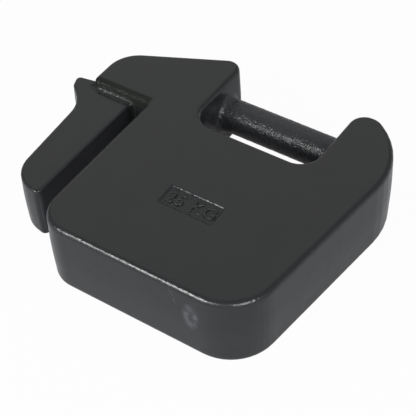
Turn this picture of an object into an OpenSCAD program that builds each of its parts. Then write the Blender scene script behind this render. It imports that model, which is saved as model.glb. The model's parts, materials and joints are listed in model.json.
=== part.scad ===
// Suitcase weight for a tractor: one iron casting that hangs by its hook
// leg on a carrier plate and is lifted by a bar cast across its hand opening.
//
// It lies on its back face. X runs along its base edge, Y up its height as
// it hangs, and Z through its thickness. The outlines are drawn from a datum
// where the left wall of the hand opening meets the line of the base edge,
// then moved so that the origin is under the middle of the bounding box.

/* [Casting] */
// Thickness from face to face
body_t = 71; // [56:1:84]
// Draft of the walls, from the parting line at mid-thickness to each face
draft = 1.5; // [0.5:0.1:2.5]
// Rounding where the walls meet the faces
edge_r = 4.5; // [3:0.1:4.8]

/* [Base and right side] */
// Datum to where the base edge would meet the right side
base_w = 153.6; // [128:0.2:180]
// Rounding of the casting's lower left corner, under the slot
base_left_r = 28; // [15:1:30]
// Rounding of the casting's lower right corner
base_right_r = 43; // [20:1:55]
// Outward lean of the right side
side_lean = 7.2; // [3:0.1:9]

/* [Right horn] */
// Height of the right horn above the base edge
horn_h = 245.5; // [235:0.5:262]
// Width from the hand opening to where the tip would meet the shoulder
horn_tip_w = 22.5; // [22:0.5:25]
// How far the horn's inner wall leans back from the opening at its tip
horn_lean = 1.8; // [0:0.1:2]
// Drop from the horn's tip to where its shoulder would meet the side
horn_drop = 29; // [26:1:31]
// Rounding between the horn's shoulder and the side
horn_side_r = 73; // [50:1:73]
// Rounding of the tip, outer and inner
horn_tip_r = 15; // [8:0.5:15]

/* [Hand opening] */
// Width of the hand opening
hand_w = 116; // [100:1:122]
// Height of the opening's floor above the base edge
hand_floor = 163; // [150:0.5:170]
// Rounding of the floor's left corner
hand_left_r = 20; // [8:1:22]
// Rounding of the floor's right corner
hand_right_r = 18.5; // [8:0.5:22]
// Radius of the lifting bar
bar_r = 16; // [12:0.1:17]
// Bar's centre above the floor of the opening
bar_rise = 55; // [50:0.5:58]
// Blend between the bar and the walls
bar_blend_r = 6; // [3:0.5:7]

/* [Left horn] */
// Height at which the sloping top would meet the hand opening
peak_h = 256; // [246:1:266]
// Slope of the top, down to the left
top_slope = 25; // [18:0.5:30]
// Rounding of the peak beside the hand opening
peak_r = 12; // [8:0.5:14]
// Datum to the left wall of the horn
horn_left = 107; // [95:1:118]
// Rounding between the sloping top and the left wall
shoulder_r = 31.5; // [15:0.5:36]

/* [Hook leg and slot] */
// Width of the slot that drops over the carrier plate
slot_w = 19.3; // [16:0.1:24]
// Datum to the slot's right wall
slot_in = 45; // [38:0.5:50]
// Height of the slot's closed end above the base edge
slot_end = 161.7; // [151:0.1:170]
// Rounding of the slot's closed end
slot_r = 5; // [2:0.5:6]
// Step down from each face of the body to the leg, which is thinner
step = 9; // [9:0.5:16]
// Cove along the foot of the step
cove_r = 4.2; // [1:0.1:4.2]
// Width of the leg at its lower end
leg_w = 33.6; // [30:0.1:40]
// Lean of the leg's outer wall
leg_lean = 3.9; // [1:0.1:4.5]
// Height of the leg's foot above the base edge, beside the slot
leg_foot = 28.8; // [15:0.1:40]
// Rise of the foot's lower edge towards the outer wall
foot_rise = 6.5; // [0:0.5:10]
// Rounding of the foot's outer corner
foot_r = 30; // [20:1:34]
// Rounding of the foot's corner beside the slot
foot_in_r = 5; // [3:0.5:6]
// Rounding of the leg's edges
leg_edge_r = 2; // [1:0.1:2.8]
// How far the nub stands out from the left horn's wall
nub_out = 22.4; // [18:0.1:30]
// Height of the nub's tip above the slot's closed end
nub_rise = 5.1; // [4.5:0.1:10]

/* [Marking panel] */
// Length of the sunk panel
panel_w = 52; // [30:1:70]
// Height of the sunk panel
panel_h = 22; // [12:1:34]
// Depth of the panel below the front face
panel_depth = 1.2; // [0.4:0.1:3]
// Panel's centre along the base edge, from the datum
panel_x = 57.3; // [45:0.1:70]
// Panel's centre above the base edge
panel_y = 77.5; // [60:0.5:95]

/* [Hidden] */
$fn = 96;

iron_black = [0.16, 0.16, 0.17];

// overlap of pieces that are cast together
join = 6;
// how far a cut or a buried plate runs past the face it starts from
past = 1;
// degrees from point to point along an outline's arc
arc_step = 8;
// degrees from facet to facet round an edge
edge_step = 22.5;

// Corners of the body, each [x, y, radius], anticlockwise from the slot
body_corners = [
    [-slot_in, 0, base_left_r],
    [base_w, 0, base_right_r],
    [base_w + tan(side_lean) * (horn_h - horn_drop), horn_h - horn_drop, horn_side_r],
    [hand_w + horn_tip_w, horn_h, horn_tip_r],
    [hand_w + horn_lean, horn_h, horn_tip_r],
    [hand_w, hand_floor, hand_right_r],
    [0, hand_floor, hand_left_r],
    [0, peak_h, peak_r],
    [-horn_left, peak_h - horn_left * tan(top_slope), shoulder_r],
    [-horn_left, slot_end, edge_r + 0.5],
    [-slot_in, slot_end, slot_r],
];

// Leg and its nub: thickness, walls, and how far the plate runs on inside
// the left horn, across and up
leg_t = body_t - 2 * step;
leg_in = -slot_in - slot_w;
leg_out = leg_in - leg_w;
buried = 10;
buried_up = 25;
// the nub's tip, where its upper edge ends in the horn, and the corner under it
nub_x = -horn_left - nub_out;
nub_y = slot_end + nub_rise;
nub_r = 4;
nub_root = 8;
nub_climb = 5;
nub_back = 4.3;
nub_drop = 12;
nub_foot_r = 5.5;
// the neck, where the leg's outer wall bends out towards the nub
neck_drop = 24.2;
neck_r = 33;
neck_y = slot_end - neck_drop;
neck_x = leg_out - tan(leg_lean) * (neck_y - leg_foot);

// Corners of the leg, anticlockwise from its foot. The ones past the slot's
// end are buried in the left horn.
leg_corners = [
    [leg_out, leg_foot + foot_rise, foot_r],
    [leg_in, leg_foot, foot_in_r],
    [leg_in, slot_end, slot_r],
    [leg_in + buried, slot_end, 0],
    [leg_in + buried, slot_end + buried_up, 0],
    [leg_in - buried, slot_end + buried_up, 0],
    [-horn_left + nub_root, nub_y + nub_climb, 0],
    [nub_x, nub_y, nub_r],
    [nub_x + nub_back, nub_y - nub_drop, nub_foot_r],
    [neck_x, neck_y, neck_r],
];

// Corners of the cove's upper edge: the step's line from just inside the
// horn's left wall to just short of the slot, closed inside the body
cove_start_r = 3;
cove_end_r = 1;
cove_back_r = 0.3;
cove_start = -horn_left + 1.2;
cove_end = leg_in - leg_edge_r - cove_r;
cove_back = slot_end + cove_start_r + past;
cove_corners = [
    [cove_start, slot_end, cove_start_r],
    [cove_end, slot_end, cove_end_r],
    [cove_end, cove_back, cove_back_r],
    [cove_start, cove_back, cove_back_r],
];

// ---- geometry of an outline of rounded corners ----

function at(c, i) = c[(i + len(c)) % len(c)];
function heading(c, i) = atan2(at(c, i + 1).y - at(c, i).y, at(c, i + 1).x - at(c, i).x);
function wrap(a) = a > 180 ? a - 360 : a <= -180 ? a + 360 : a;
// turn at corner i: positive at an outside corner, negative at an inside one
function turn(c, i) = wrap(heading(c, i) - heading(c, i - 1));
function dir(a) = [cos(a), sin(a)];
function left_of(a) = [-sin(a), cos(a)];
function flat(p) = [p.x, p.y];
// length that corner i's rounding takes from each of its sides
function trim(c, i) = at(c, i)[2] * tan(abs(turn(c, i)) / 2);
function arc_start(c, i) = flat(at(c, i)) - trim(c, i) * dir(heading(c, i - 1));
function arc_centre(c, i) =
    arc_start(c, i) + sign(turn(c, i)) * at(c, i)[2] * left_of(heading(c, i - 1));

// points of the outline moved in by d, with a point every few degrees of arc
function inset_corner(c, i, d) =
    let (t = turn(c, i), r = at(c, i)[2] - sign(t) * d, h = heading(c, i - 1))
    at(c, i)[2] == 0
        ? [flat(at(c, i)) + d / cos(t / 2) * left_of(h + t / 2)]
        : let (steps = ceil(abs(t) / arc_step))
          [for (k = [0 : steps])
              arc_centre(c, i) - sign(t) * r * left_of(h + t * k / steps)];
function inset(c, d) = [for (i = [0 : len(c) - 1]) each inset_corner(c, i, d)];

// Wall of a plate t thick, from its back face up: each [inset, height]. It
// rounds out of the face by r, leans out to the parting line and mirrors.
function half_wall(t, r) =
    let (in = r * (1 - sin(draft)) / cos(draft), steps = ceil((90 - draft) / edge_step))
    [for (k = [0 : steps])
        let (a = (90 - draft) * k / steps)
        [in - r * sin(a), -t / 2 + r * (1 - cos(a))]];
function wall(t, r) =
    let (half = half_wall(t, r), n = len(half))
    concat(half, [[-tan(draft) * t / 2, 0]],
        [for (k = [n - 1 : -1 : 0]) [half[k][0], -half[k][1]]]);

// The same for a cove of radius r standing on a plate t thick: it starts sunk
// in the plate and curves up to the wall behind it.
function cove(t, r) =
    concat([[-r, t / 2 - past]],
        [for (a = [0 : edge_step : 90]) [-r * (1 - sin(a)), t / 2 + r * (1 - cos(a))]]);

// ---- filling a face: ears are cut off the outline one by one ----

function cross2(a, b, p) = (b.x - a.x) * (p.y - a.y) - (b.y - a.y) * (p.x - a.x);
function within(a, b, c, p) =
    cross2(a, b, p) >= 0 && cross2(b, c, p) >= 0 && cross2(c, a, p) >= 0;
function is_ear(pts, ids, k) =
    let (n = len(ids), ia = ids[(k + n - 1) % n], ib = ids[k], ic = ids[(k + 1) % n])
    cross2(pts[ia], pts[ib], pts[ic]) > 0 && 0 == len([
        for (i = ids)
            if (i != ia && i != ib && i != ic && within(pts[ia], pts[ib], pts[ic], pts[i])) i]);
function first_ear(pts, ids, k = 0) = is_ear(pts, ids, k) ? k : first_ear(pts, ids, k + 1);
function fill(pts, ids) =
    let (n = len(ids))
    n == 3 ? [ids] :
        let (k = first_ear(pts, ids))
        concat([[ids[(k + n - 1) % n], ids[k], ids[(k + 1) % n]]],
            fill(pts, [for (j = [0 : n - 1]) if (j != k) ids[j]]));

// solid on a cornered outline that is moved in or out from level to level
module stack(c, levels) {
    rings = [for (level = levels) inset(c, level[0])];
    n = len(rings[0]);
    last = len(levels) - 1;
    face = fill(rings[0], [for (i = [0 : n - 1]) i]);
    polyhedron(
        points = [for (k = [0 : last], p = rings[k]) [p.x, p.y, levels[k][1]]],
        faces = concat(
            face,
            [for (f = face) [f[2] + last * n, f[1] + last * n, f[0] + last * n]],
            [for (k = [0 : last - 1], i = [0 : n - 1])
                let (j = (i + 1) % n)
                [k * n + i, (k + 1) * n + i, (k + 1) * n + j, k * n + j]]));
}

// ---- parts of the casting ----

// bar across the hand opening, blended into both walls
module lifting_bar() {
    translate([0, hand_floor + bar_rise, 0])
        rotate([0, 90, 0])
            rotate_extrude()
                difference() {
                    translate([0, -join])
                        square([bar_r + bar_blend_r, hand_w + 2 * join]);
                    translate([bar_r, bar_blend_r])
                        square([bar_blend_r + past, hand_w - 2 * bar_blend_r]);
                    for (y = [bar_blend_r, hand_w - bar_blend_r])
                        translate([bar_r + bar_blend_r, y]) circle(bar_blend_r);
                }
}

// the panel's sunk space, with rounded corners
module panel_recess() {
    corner = 2;
    translate([panel_x, panel_y, body_t / 2 - panel_depth])
        linear_extrude(panel_depth + past) {
            square([panel_w, panel_h - 2 * corner], center = true);
            square([panel_w - 2 * corner, panel_h], center = true);
            for (x = [-1, 1], y = [-1, 1])
                translate([x * (panel_w / 2 - corner), y * (panel_h / 2 - corner)])
                    circle(corner);
        }
}

// middle of the bounding box, from the outlines and the wall's bulge
bulge = tan(draft) / 2;
body_edge = inset(body_corners, 0);
leg_edge = inset(leg_corners, 0);
left_x = min([for (p = leg_edge) p.x]) - bulge * leg_t;
right_x = max([for (p = body_edge) p.x]) + bulge * body_t;
top_y = max([for (p = body_edge) p.y]);

module weight_casting() {
    color(iron_black)
        translate([-(left_x + right_x) / 2, -top_y / 2, body_t / 2])
            difference() {
                union() {
                    stack(body_corners, wall(body_t, edge_r));
                    stack(leg_corners, wall(leg_t, leg_edge_r));
                    for (side = [0, 1])
                        mirror([0, 0, side]) stack(cove_corners, cove(leg_t, cove_r));
                    lifting_bar();
                }
                panel_recess();
            }
}

weight_casting();
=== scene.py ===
import json
import math

import bpy
from mathutils import Matrix, Vector, noise


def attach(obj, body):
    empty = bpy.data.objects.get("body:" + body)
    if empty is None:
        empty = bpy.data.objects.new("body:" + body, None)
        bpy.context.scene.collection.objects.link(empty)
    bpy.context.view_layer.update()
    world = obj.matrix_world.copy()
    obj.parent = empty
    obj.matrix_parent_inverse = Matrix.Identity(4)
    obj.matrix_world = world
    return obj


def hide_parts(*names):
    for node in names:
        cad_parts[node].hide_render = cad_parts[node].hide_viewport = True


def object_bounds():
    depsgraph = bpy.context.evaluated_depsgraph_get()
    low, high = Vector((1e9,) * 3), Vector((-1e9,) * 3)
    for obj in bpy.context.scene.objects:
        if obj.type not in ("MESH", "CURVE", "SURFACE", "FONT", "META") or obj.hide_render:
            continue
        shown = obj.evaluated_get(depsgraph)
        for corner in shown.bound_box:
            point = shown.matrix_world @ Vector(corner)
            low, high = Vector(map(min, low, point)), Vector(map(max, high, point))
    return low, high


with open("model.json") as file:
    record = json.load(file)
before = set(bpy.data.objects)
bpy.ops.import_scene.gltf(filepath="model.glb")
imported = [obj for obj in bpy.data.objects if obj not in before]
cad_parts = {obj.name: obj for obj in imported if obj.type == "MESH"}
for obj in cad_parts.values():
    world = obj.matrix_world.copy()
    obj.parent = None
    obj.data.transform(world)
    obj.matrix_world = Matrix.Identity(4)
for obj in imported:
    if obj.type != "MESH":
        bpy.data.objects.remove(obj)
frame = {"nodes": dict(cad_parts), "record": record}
cad_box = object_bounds()

# ---- The casting ----
# One block of grey iron, poured in sand. Its faces come out smooth and its walls
# a little wavy. Where the iron washed the sand, the skin is pitted: on the bar,
# on the step above the hook leg and in the marking panel.

MM = 0.001
FACE = cad_box[1][2]                # height of the upper face
PARTING = FACE / 2                  # the two halves of the mould meet here
DRAFT = math.radians(1.5)           # lean of the walls on either side of it
PARTING_ROUND = 12 * MM             # grinding has rounded the corner between them
MOUNTS = {mount["name"]: mount for mount in frame["record"]["mounts"]}
BAR = Vector(MOUNTS["lifting_bar"]["pos_m"])
BAR_HALF = 58 * MM                  # from its middle to each horn
SLOT = Vector(MOUNTS["carrier_slot"]["pos_m"])
SLOT_HALF = 9.7 * MM
OPENING_FLOOR = 38.4 * MM           # the hand opening runs from here to the horns' tips
STEP = Vector((-101, 37.5, 0)) * MM    # middle of the step between horn and leg
STEP_HALF = 31 * MM
PANEL = Vector((33.2, -47.1, 71)) * MM
PANEL_SIZE = Vector((52, 22)) * MM
FRAY = 4 * MM                       # a skin fades out over this length at its ends
GRID = 1.0 * MM                     # mesh spacing that takes the sand's unevenness
SWELL, RIPPLE, PIT = 30 * MM, 9 * MM, 2.2 * MM    # how wide each kind of it is


def modified(piece, *steps):
    """Adds each (kind, settings) modifier to the piece and applies them all."""
    for kind, settings in steps:
        step = piece.modifiers.new(kind.lower(), kind)
        for key, value in settings.items():
            setattr(step, key, value)
    graph = bpy.context.evaluated_depsgraph_get()
    mesh = bpy.data.meshes.new_from_object(piece.evaluated_get(graph))
    piece.modifiers.clear()
    piece.data = mesh


def fade(value, full, none):
    """1 where the value is at full, falling smoothly to 0 at none."""
    part = min(max((none - value) / (none - full), 0.0), 1.0)
    return part * part * (3 - 2 * part)


def washed(place):
    """How far the iron has washed the sand there, from 0 to 1."""
    from_axis = math.hypot(place.y - BAR.y, place.z - BAR.z)
    bar = fade(from_axis, 17 * MM, 27 * MM) * fade(abs(place.x - BAR.x), BAR_HALF, BAR_HALF + FRAY)
    from_face = min(place.z, FACE - place.z)
    step = (fade(abs(place.y - STEP.y), 4 * MM, 7 * MM) * fade(from_face, 9 * MM, 12 * MM)
            * fade(abs(place.x - STEP.x), STEP_HALF, STEP_HALF + FRAY))
    across = max(abs(place.x - PANEL.x) - PANEL_SIZE.x / 2, abs(place.y - PANEL.y) - PANEL_SIZE.y / 2)
    panel = fade(across, -0.6 * MM, 0.4 * MM) * fade(PANEL.z - place.z, 1.5 * MM, 2.5 * MM)
    return max(0.8 * bar, step, panel)


def fill_light_and_dust_amount(place):
    """Painted fill light laid as dust where the spray came thin, from 0 to 1: a lighter grey that lifts the
    shade in the slot and round the bar, more the deeper it lies.
    """
    depth = fade(FACE - place.z, 22 * MM, 4 * MM)
    slot = (fade(abs(place.x - SLOT.x), SLOT_HALF + 0.5 * MM, SLOT_HALF + 2 * MM)
            * fade(place.y, 24 * MM, 36 * MM))
    beside_bar = (fade(abs(place.x - BAR.x), BAR_HALF + 1 * MM, BAR_HALF + 3 * MM)
                  * fade(place.y, OPENING_FLOOR, OPENING_FLOOR - 3 * MM))
    return depth * max(slot, 0.35 * beside_bar)


def dry(place):
    """Where the step's skin drank the paint and stayed dull, from 0 to 1."""
    from_face = min(place.z, FACE - place.z)
    upper = fade(place.y - STEP.y, 4.5 * MM, 7 * MM) * fade(STEP.y - place.y, 0.2 * MM, 2.6 * MM)
    return (upper * fade(abs(place.x - STEP.x), STEP_HALF, STEP_HALF + FRAY)
            * fade(from_face, 9.5 * MM, 12 * MM))


def sunk(place, normal):
    """How far the skin lies inside the pattern's surface: swell, ripple and pits."""
    on_wall = fade(abs(normal.z), 0.2, 0.95)
    swell = 0.06 + 0.05 * noise.noise(place / SWELL)
    ripple = 0.04 + 0.04 * noise.noise(place / RIPPLE)
    pits = (0.2 + 0.34 * noise.noise(place / PIT)) * washed(place)
    from_parting = min(abs(place.z - PARTING), PARTING_ROUND)
    ground = math.tan(DRAFT) * (PARTING_ROUND - from_parting) ** 2 / (2 * PARTING_ROUND)
    return max((swell + ripple) * on_wall + pits, 0.0) * MM + ground * fade(abs(normal.z), 0.1, 0.4)


casting = bpy.data.objects.new("cast_weight", frame["nodes"]["weight_casting"].data.copy())
bpy.context.scene.collection.objects.link(casting)
modified(
    casting,
    ("REMESH", {"mode": "VOXEL", "voxel_size": GRID, "use_smooth_shade": True}),
    ("SMOOTH", {"factor": 0.5, "iterations": 3}),
)
shifts = [vertex.normal * sunk(vertex.co, vertex.normal) for vertex in casting.data.vertices]
for vertex, shift in zip(casting.data.vertices, shifts):
    vertex.co -= shift
modified(casting, ("DECIMATE", {"ratio": 0.36}))
for face in casting.data.polygons:
    face.use_smooth = True
# The dust layer is painted fill light: a lighter grey that lifts the shade deep in the slot and beside the
# bar.
for name, amount in (("rough_skin", washed), ("fill_light_and_dust", fill_light_and_dust_amount), ("dry_skin", dry)):
    layer = casting.data.attributes.new(name, "FLOAT", "POINT")
    for vertex, value in zip(casting.data.vertices, layer.data):
        value.value = amount(vertex.co)


def linear(hex_colour):
    """Linear colour of an sRGB hex value, such as "1c1d1e"."""
    channels = [int(hex_colour[i:i + 2], 16) / 255 for i in (0, 2, 4)]
    return [c / 12.92 if c <= 0.04045 else ((c + 0.055) / 1.055) ** 2.4 for c in channels] + [1]


def add(tree, kind, inputs=(), **settings):
    """A node of that kind with its settings, and its inputs as values or links."""
    made = tree.nodes.new("ShaderNode" + kind)
    for key, value in settings.items():
        setattr(made, key, value)
    for key, value in dict(inputs).items():
        if isinstance(value, bpy.types.NodeSocket):
            tree.links.new(value, made.inputs[key])
        else:
            made.inputs[key].default_value = value
    return made


# Black enamel, sprayed over unmachined iron: it lies smooth on the faces, shows
# the grain of the sand on walls and edges, and stays broken on the washed skin.
# The grain is drawn 1.6 mm wide, coarser than real moulding sand, so it shows.
GRAIN, GRAIN_DEEP = 1.6 * MM, 0.8 * MM
LUMP, LUMP_DEEP = 7 * MM, 0.9 * MM
CLOUD = 24 * MM                     # the spray's thick and thin places
black_enamel = bpy.data.materials.new("black_enamel")
black_enamel.use_nodes = True
tree = black_enamel.node_tree
shader = tree.nodes["Principled BSDF"]
place = add(tree, "TexCoord").outputs["Object"]
facing = add(tree, "SeparateXYZ", {"Vector": add(tree, "NewGeometry").outputs["Normal"]}).outputs["Z"]
level = add(tree, "Math", {0: facing}, operation="ABSOLUTE").outputs[0]
edges = add(tree, "ValToRGB", {"Fac": level})
stops = edges.color_ramp.elements
stops[0].position, stops[1].position = 0.1, 0.985
stops[0].color, stops[1].color = (0.12, 0.12, 0.12, 1), (0.01, 0.01, 0.01, 1)
for position in (0.3, 0.85):
    stops.new(position).color = (0.4, 0.4, 0.4, 1)
skin = add(tree, "Attribute", attribute_name="rough_skin").outputs["Fac"]
pitted = add(tree, "Math", {0: skin, 1: 0.8}, operation="MULTIPLY").outputs[0]
broken = add(tree, "Math", {0: edges.outputs["Color"], 1: pitted}, operation="MAXIMUM").outputs[0]
grain = add(tree, "TexNoise", {"Vector": place, "Scale": 1 / GRAIN, "Detail": 2.0}).outputs["Fac"]
lumps = add(tree, "TexNoise", {"Vector": place, "Scale": 1 / LUMP, "Detail": 2.0}).outputs["Fac"]
cloud = add(tree, "TexNoise", {"Vector": place, "Scale": 1 / CLOUD, "Detail": 3.0}).outputs["Fac"]
fine = add(tree, "Bump", {"Height": grain, "Distance": GRAIN_DEEP, "Strength": broken})
soft = add(tree, "Bump", {"Height": lumps, "Distance": LUMP_DEEP, "Strength": broken,
                          "Normal": fine.outputs["Normal"]})
tree.links.new(soft.outputs["Normal"], shader.inputs["Normal"])

# A dry knock on the wall above the base edge: an oval ring of rubbed paint, and
# a short scratch beside it. Both are patchy, as the lumps stood up to the knock.
RING, RING_WIDE, RING_HIGH = Vector((83, 0, 44)) * MM, 7 * MM, 13.5 * MM
SCRATCH, SCRATCH_LEAN = Vector((66.5, 0, 60)) * MM, math.radians(-18.5)
SCRATCH_WIDE, SCRATCH_LONG = 0.6 * MM, 10 * MM
BASE_WALL = -115 * MM               # only the wall of the base edge lies beyond this
from_ring = add(tree, "VectorMath", {0: place, 1: RING}, operation="SUBTRACT").outputs[0]
from_ring = add(tree, "VectorMath", {0: from_ring, 1: (1 / RING_WIDE, 0, 1 / RING_HIGH)},
                operation="MULTIPLY").outputs[0]
from_ring = add(tree, "VectorMath", {0: from_ring}, operation="LENGTH").outputs["Value"]
off_ring = add(tree, "Math", {0: from_ring, 1: 0.6}, operation="SUBTRACT").outputs[0]
off_ring = add(tree, "Math", {0: off_ring}, operation="ABSOLUTE").outputs[0]
ring = add(tree, "MapRange", {"Value": off_ring, "From Min": 0.0, "From Max": 0.6,
                              "To Min": 0.75, "To Max": 0.0}).outputs[0]
on_scratch = add(tree, "Mapping", {"Vector": place, "Location": SCRATCH,
                                   "Rotation": (0, SCRATCH_LEAN, 0),
                                   "Scale": (SCRATCH_WIDE, 1, SCRATCH_LONG)}, vector_type="TEXTURE")
on_scratch = add(tree, "SeparateXYZ", {"Vector": on_scratch.outputs[0]}).outputs
aside = add(tree, "Math", {0: on_scratch["X"]}, operation="ABSOLUTE").outputs[0]
ahead = add(tree, "Math", {0: on_scratch["Z"]}, operation="ABSOLUTE").outputs[0]
reach = add(tree, "Math", {0: aside, 1: ahead}, operation="MAXIMUM").outputs[0]
scratch = add(tree, "MapRange", {"Value": reach, "From Min": 0.6, "From Max": 1.2,
                                 "To Min": 0.45, "To Max": 0.0}).outputs[0]
mark = add(tree, "Math", {0: ring, 1: scratch}, operation="MAXIMUM").outputs[0]
depth = add(tree, "SeparateXYZ", {"Vector": place}).outputs["Y"]
on_base = add(tree, "Math", {0: depth, 1: BASE_WALL}, operation="LESS_THAN").outputs[0]
patchy = add(tree, "MapRange", {"Value": lumps, "From Min": 0.42, "From Max": 0.62,
                                "To Min": 0.35, "To Max": 1.0}).outputs[0]
mark = add(tree, "Math", {0: mark, 1: on_base}, operation="MULTIPLY").outputs[0]
mark = add(tree, "Math", {0: mark, 1: patchy}, operation="MULTIPLY").outputs[0]

# Painted fill light laid as dust, a lighter grey that lifts the shade in the slot and
# by the bar, the dry skin and the rubbed marks each lie over the paint. The dry skin
# has no shine, apart from drops of paint that stand on the highest grains.
fill_light_and_dust = add(tree, "Attribute", attribute_name="fill_light_and_dust").outputs["Fac"]
parched = add(tree, "Attribute", attribute_name="dry_skin").outputs["Fac"]
paint = add(tree, "MixRGB", {"Fac": cloud, "Color1": linear("1e1f20"), "Color2": linear("232425")})
# The grey 3f4044 is painted fill light laid as dust: it lifts the shade in the slot and by the bar.
for amount, colour in ((fill_light_and_dust, "3f4044"), (parched, "232523"), (mark, "505256")):
    paint = add(tree, "MixRGB", {"Fac": amount, "Color1": paint.outputs["Color"], "Color2": linear(colour)})
tree.links.new(paint.outputs["Color"], shader.inputs["Base Color"])
dull = add(tree, "MapRange", {"Value": cloud, "From Min": 0.3, "From Max": 0.7,
                              "To Min": 0.18, "To Max": 0.24}).outputs[0]
for amount, more in ((fill_light_and_dust, 0.2), (mark, 0.25)):
    dull = add(tree, "Math", {0: amount, 1: more, 2: dull}, operation="MULTIPLY_ADD").outputs[0]
tree.links.new(dull, shader.inputs["Roughness"])
drops = add(tree, "MapRange", {"Value": grain, "From Min": 0.62, "From Max": 0.68}).outputs[0]
between = add(tree, "Math", {0: 1.0, 1: drops}, operation="SUBTRACT").outputs[0]
matt = add(tree, "Math", {0: between, 1: parched}, operation="MULTIPLY").outputs[0]
shine = add(tree, "Math", {0: matt, 1: -0.47, 2: 0.5}, operation="MULTIPLY_ADD").outputs[0]
tree.links.new(shine, shader.inputs["Specular IOR Level"])
shader.inputs["IOR"].default_value = 1.43

casting.data.materials.clear()
casting.data.materials.append(black_enamel)
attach(casting, "root")
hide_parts("weight_casting")

# ---- The weight's figures ----
# Plain raised figures that give the weight, cast with the block in its sunk
# panel: cut into the pattern, so they stand up from the iron with soft edges.

CAPITAL = 12.5 * MM                 # height of a figure
FONT_SIZE = 1.38 * CAPITAL          # that gives it in Blender's own font
FIGURE_RISE = 1.1 * MM              # from below the panel's floor to just under the face
FIGURE_MIDDLE = 0.85 * MM           # half way up them, below the face
FIGURE_GRID = 0.3 * MM
drawing = bpy.data.curves.new("weight_figures", "FONT")
drawing.body = "25 KG"
drawing.size = FONT_SIZE
drawing.space_character = 1.05
drawing.align_x = "CENTER"
drawing.align_y = "CENTER"
drawing.offset = 0.25 * MM
drawing.extrude = FIGURE_RISE / 2
drawn = bpy.data.objects.new("drawn_figures", drawing)
bpy.context.scene.collection.objects.link(drawn)
drawn.location = PANEL - Vector((0, 0, FIGURE_MIDDLE))
graph = bpy.context.evaluated_depsgraph_get()
sharp_figures = bpy.data.meshes.new_from_object(drawn.evaluated_get(graph))
sharp_figures.transform(drawn.matrix_world)
bpy.data.objects.remove(drawn)
figures = bpy.data.objects.new("weight_figures", sharp_figures)
bpy.context.scene.collection.objects.link(figures)
modified(
    figures,
    ("REMESH", {"mode": "VOXEL", "voxel_size": FIGURE_GRID, "use_smooth_shade": True}),
    ("SMOOTH", {"factor": 0.5, "iterations": 4}),
    ("DECIMATE", {"ratio": 0.4}),
)
for vertex in figures.data.vertices:
    vertex.co.z += 0.15 * MM * noise.noise(vertex.co / (2.5 * MM)) - 0.05 * MM
for face in figures.data.polygons:
    face.use_smooth = True
rough_skin = figures.data.attributes.new("rough_skin", "FLOAT", "POINT")
for value in rough_skin.data:
    value.value = 0.7
figures.data.materials.clear()
figures.data.materials.append(black_enamel)
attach(figures, "root")

# ---- The studio ----
# A white paper floor in a dim room. Two softboxes in front and a panel behind
# shine in the enamel, two narrow strips draw the glints along its edges, and a
# broad fill over the camera lights it without a reflection of its own.

FLOOR = 6.0
corners = [(x * FLOOR, y * FLOOR, 0) for x, y in ((-1, -1), (1, -1), (1, 1), (-1, 1))]
paper_mesh = bpy.data.meshes.new("floor")
paper_mesh.from_pydata(corners, [], [(0, 1, 2, 3)])
floor = bpy.data.objects.new("floor", paper_mesh)
bpy.context.scene.collection.objects.link(floor)
white_paper = bpy.data.materials.new("white_paper")
white_paper.use_nodes = True
tree = white_paper.node_tree
paper = tree.nodes["Principled BSDF"]
paper.inputs["Base Color"].default_value = linear("b5b6b9")
paper.inputs["Roughness"].default_value = 0.9
paper.inputs["Specular IOR Level"].default_value = 0.0
glow = add(tree, "Emission", {"Strength": 1.0})
ray = add(tree, "LightPath").outputs
mirrored = add(tree, "Math", {0: ray["Is Glossy Ray"], 1: ray["Is Transmission Ray"]}, operation="MAXIMUM")
faint = add(tree, "Math", {0: mirrored.outputs[0], 1: 0.2}, operation="MULTIPLY").outputs[0]
glowing = add(tree, "Math", {0: ray["Is Camera Ray"], 1: 0.97, 2: faint}, operation="MULTIPLY_ADD").outputs[0]
blend = add(tree, "MixShader", {0: glowing, 1: paper.outputs[0], 2: glow.outputs[0]})
tree.links.new(blend.outputs[0], tree.nodes["Material Output"].inputs["Surface"])
floor.data.materials.append(white_paper)

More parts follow.
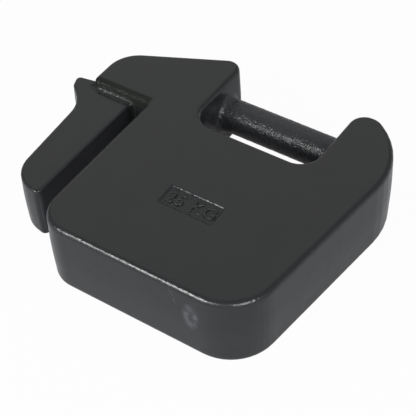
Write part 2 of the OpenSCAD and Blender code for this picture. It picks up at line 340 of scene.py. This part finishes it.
# The room is white near the floor, like a paper sweep, and grey above it.
room = bpy.data.worlds.new("room")
bpy.context.scene.world = room
room.use_nodes = True
tree = room.node_tree
height = add(tree, "SeparateXYZ", {"Vector": add(tree, "TexCoord").outputs["Generated"]}).outputs["Z"]
sky = add(tree, "MapRange", {"Value": height, "From Min": 0.03, "From Max": 0.12,
                             "To Min": 1.0, "To Max": 0.33}, interpolation_type="SMOOTHSTEP")
tree.links.new(sky.outputs[0], tree.nodes["Background"].inputs["Color"])


def bearing(azimuth, elevation):
    """The direction from the weight, in degrees: 0 is the front, 90 the right."""
    a, e = math.radians(azimuth), math.radians(elevation)
    return Vector((math.sin(a) * math.cos(e), -math.cos(a) * math.cos(e), math.sin(e)))


def lamp(name, azimuth, elevation, distance, width, height, radiance):
    """A softbox aimed at the weight, placed by its bearing."""
    light = bpy.data.lights.new(name, "AREA")
    light.shape = "RECTANGLE"
    light.size, light.size_y = width, height
    light.energy = radiance * math.pi * width * height
    thing = bpy.data.objects.new(name, light)
    bpy.context.scene.collection.objects.link(thing)
    away = bearing(azimuth, elevation)
    thing.location = away * distance
    thing.rotation_mode = "QUATERNION"
    thing.rotation_quaternion = away.to_track_quat("Z", "Y")
    return thing


lamp("left_softbox", -18, 24, 2.0, 1.2, 1.1, 8.0)
lamp("right_softbox", 60, 24, 2.0, 0.9, 1.1, 6.5)
lamp("back_panel", 215, 46, 2.2, 2.2, 1.6, 0.37)
lamp("left_strip", -14, 29, 1.9, 1.1, 0.35, 20).visible_diffuse = False
lamp("right_strip", 52, 29, 1.9, 0.6, 0.35, 20).visible_diffuse = False
lamp("fill", 36, 55, 2.4, 1.4, 1.4, 2.6).visible_glossy = False

# The camera stands to the right of the front and well above the weight.
AZIMUTH, ELEVATION, ROLL = 35.745, 46.361, -3.306
LENS, SENSOR = 99.58, 36.0
AIM = Vector((27.02, -15.95, 36.0)) * MM
DISTANCE = 967.92 * MM
camera = bpy.data.cameras.new("camera")
camera.lens = LENS
camera.sensor_width = SENSOR
viewer = bpy.data.objects.new("camera", camera)
bpy.context.scene.collection.objects.link(viewer)
back = bearing(AZIMUTH, ELEVATION)
viewer.rotation_mode = "QUATERNION"
viewer.rotation_quaternion = (
    Matrix.Rotation(math.radians(ROLL), 4, back) @ back.to_track_quat("Z", "Y").to_matrix().to_4x4()
).to_quaternion()
viewer.location = AIM + back * DISTANCE
bpy.context.scene.camera = viewer
bpy.context.scene.view_settings.view_transform = "Standard"
